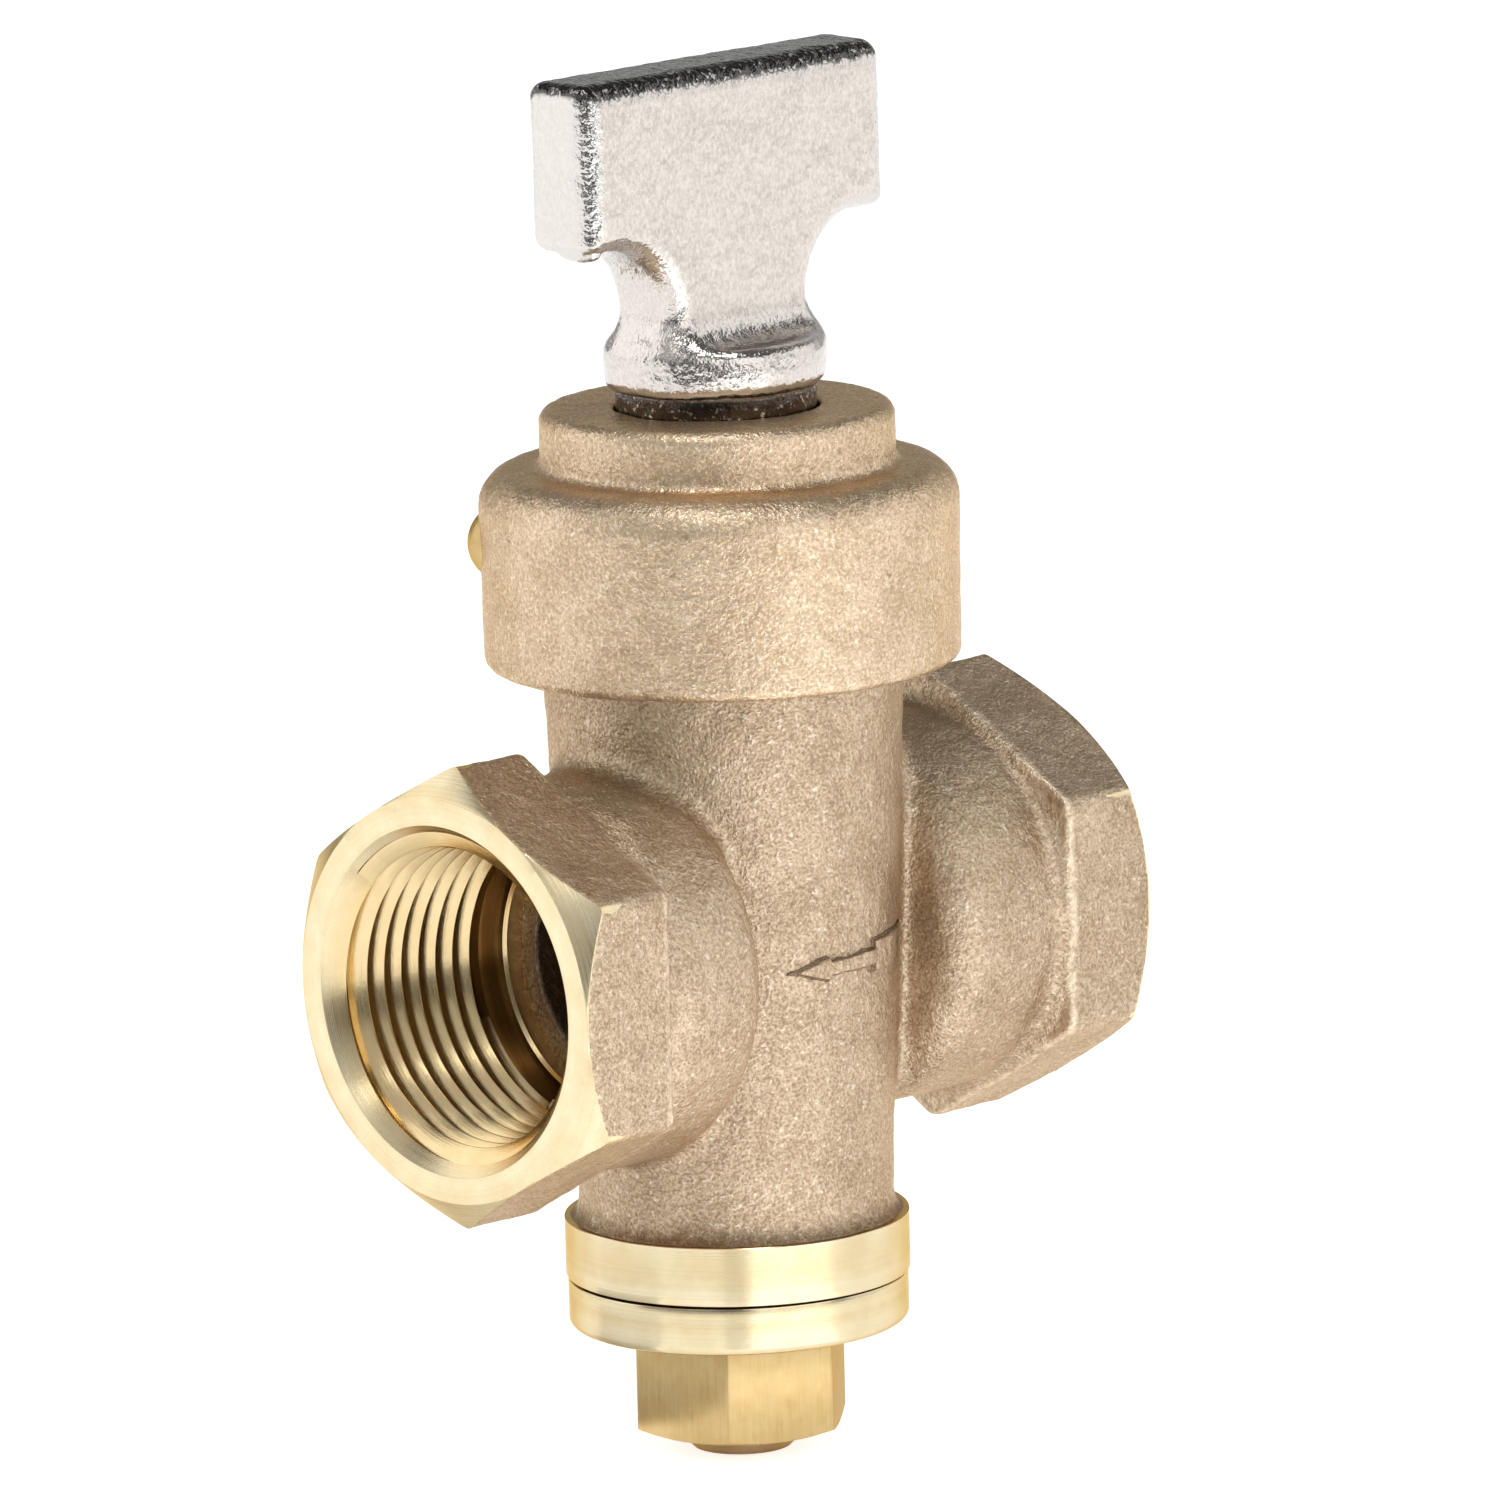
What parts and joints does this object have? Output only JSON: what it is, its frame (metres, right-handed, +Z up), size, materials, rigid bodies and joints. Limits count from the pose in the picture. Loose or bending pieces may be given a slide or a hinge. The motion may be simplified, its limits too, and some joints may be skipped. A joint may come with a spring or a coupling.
{
  "type": "ground-key stop valve",
  "caption": "Quarter-turn ground-key stop valve: hexagonal threaded pipe ends, stepped cap over a tapered key, tee handle, bottom washer and nut.",
  "frame": {"origin": "on the key's axis at the lowest point, the end of the key's stud; the ports' axis is 41.7 mm above it", "axes": "+Z up along the key's axis, X along the ports with the outlet at -X and the inlet at +X, -Y the side with the flow arrow"},
  "size_m": [0.0636, 0.0384, 0.1129],
  "materials": {
    "cast_bronze": "sand-cast bronze, fine grain",
    "cap_bronze": "sand-cast bronze, fine grain, lighter",
    "key_bronze": "ground and lapped",
    "machined_brass": "turned, bright",
    "nut_brass": "drawn and turned, bright",
    "plated_casting": "rough casting, bright nickel plate",
    "seal_rubber": "smooth, matt",
    "friction_plastic": "smooth, filled fluoropolymer"
  },
  "bodies": {
    "body": {"valve_body": "cast_bronze"},
    "key_assembly": {"key": "key_bronze", "upper_o_ring": "seal_rubber", "lower_o_ring": "seal_rubber", "port_seal_ring": "seal_rubber", "friction_washer": "friction_plastic", "bottom_washer": "machined_brass", "hex_nut": "nut_brass", "cap": "cap_bronze", "check_pin": "nut_brass", "tee_handle": "plated_casting"}
  },
  "joints": [
    {"name": "key_turn", "type": "hinge", "parent": "body", "child": "key_assembly", "pos_m": [0, 0, 0.0417], "axis": [0, 0, 1], "range_deg": [-90, 0]}
  ]
}
